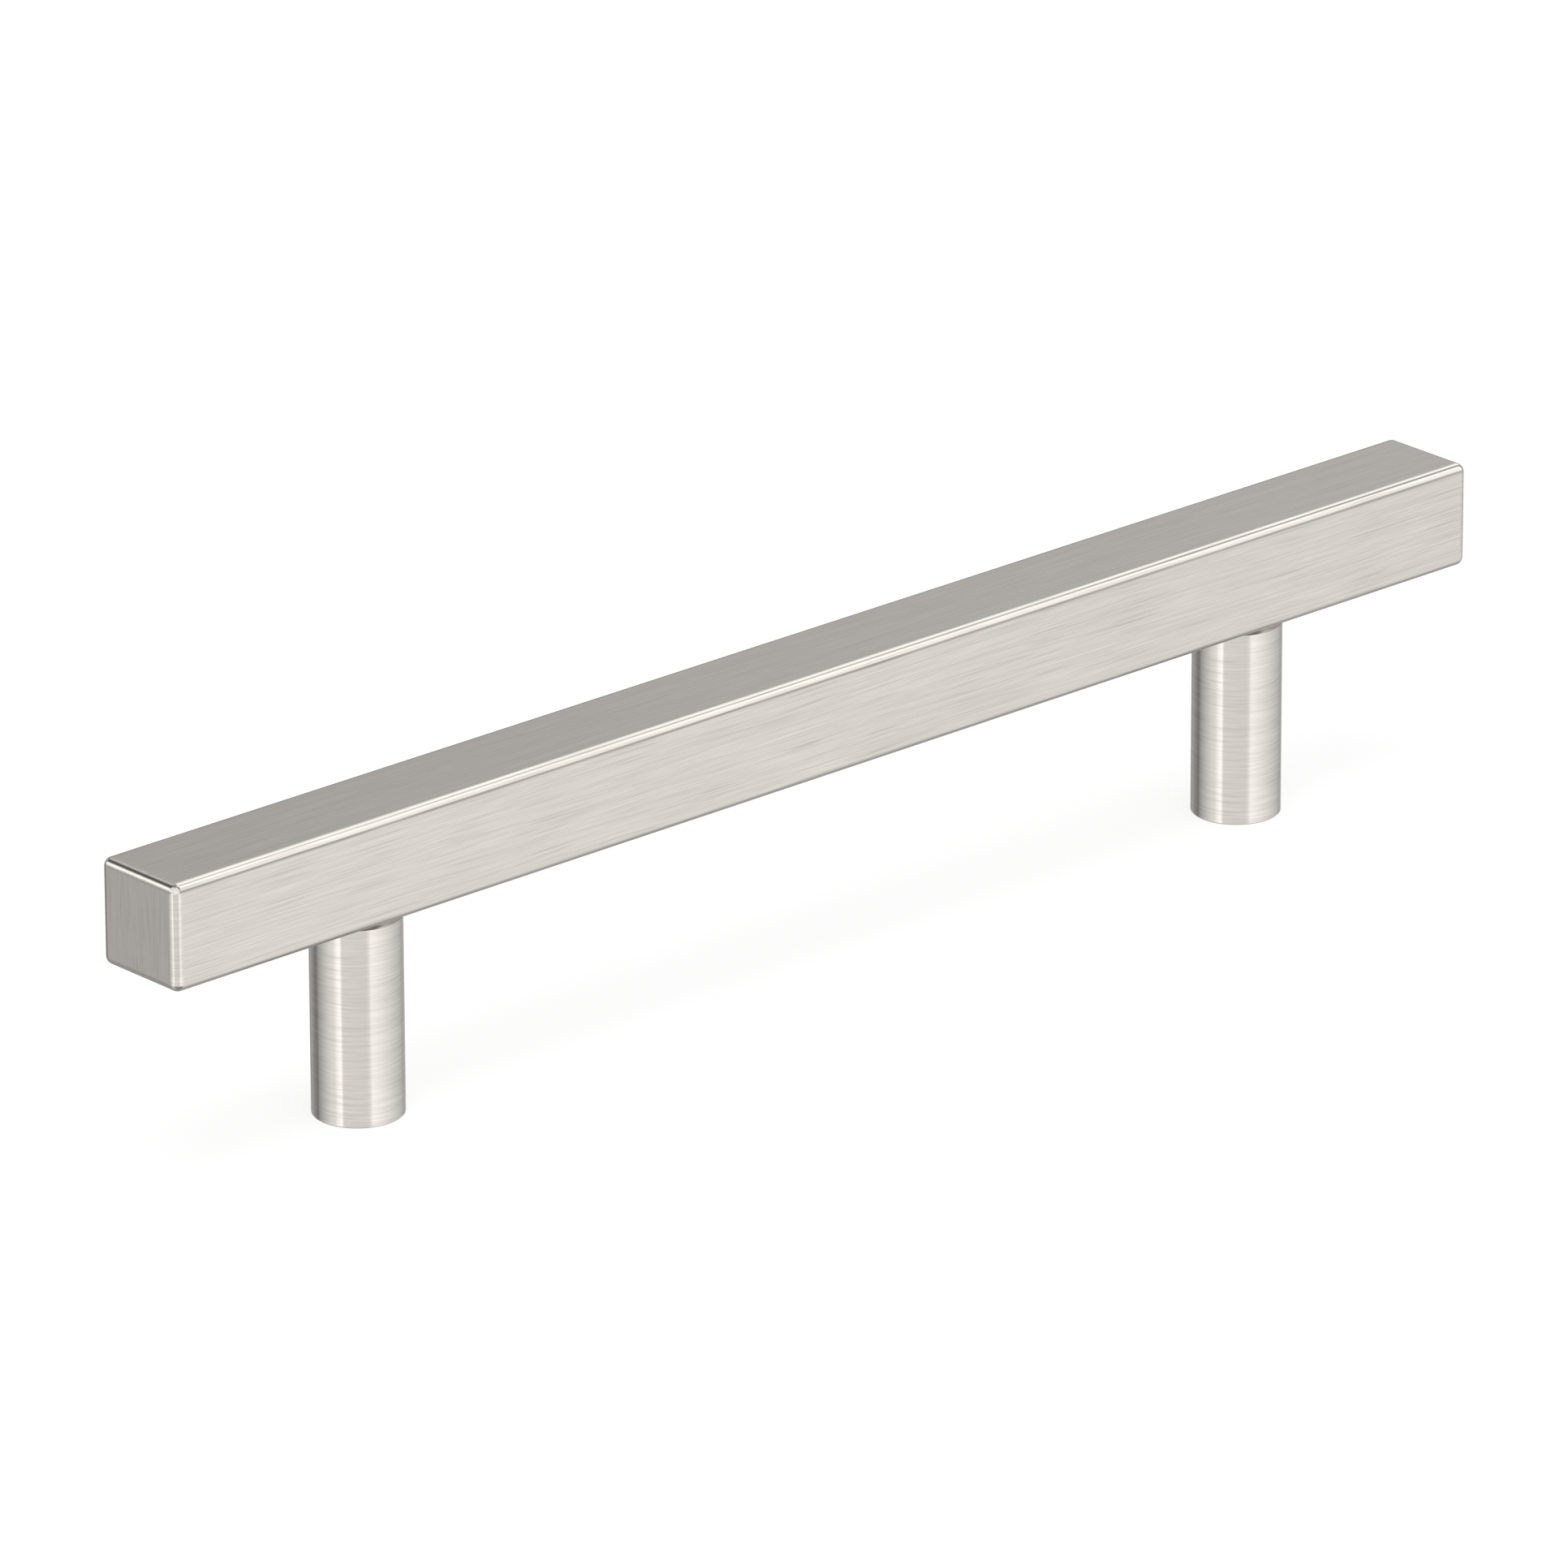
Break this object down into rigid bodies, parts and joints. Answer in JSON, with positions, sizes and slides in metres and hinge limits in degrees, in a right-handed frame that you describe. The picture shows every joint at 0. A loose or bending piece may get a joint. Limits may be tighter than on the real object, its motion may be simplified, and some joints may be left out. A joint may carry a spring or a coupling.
{
  "type": "t bar cabinet pull",
  "caption": "Straight square pull bar with rounded edges on round posts, in brushed nickel, for a cabinet door or drawer front, screwed on from behind.",
  "frame": {"origin": "on the mounting surface, midway between the centres of the two posts", "axes": "+X along the bar to the right post, +Y across the bar, +Z away from the mounting surface towards the bar"},
  "size_m": [0.187, 0.012, 0.035],
  "materials": {
    "bar_brushed_nickel": "brushed nickel plate on steel, brushed along the bar",
    "post_brushed_nickel": "brushed nickel plate on steel, brushed around the post",
    "stud_steel": "zinc plated thread"
  },
  "bodies": {
    "root": {"handle_bar": "bar_brushed_nickel", "post_left": "post_brushed_nickel", "post_right": "post_brushed_nickel", "joining_stud_left": "stud_steel", "joining_stud_right": "stud_steel"}
  },
  "joints": []
}
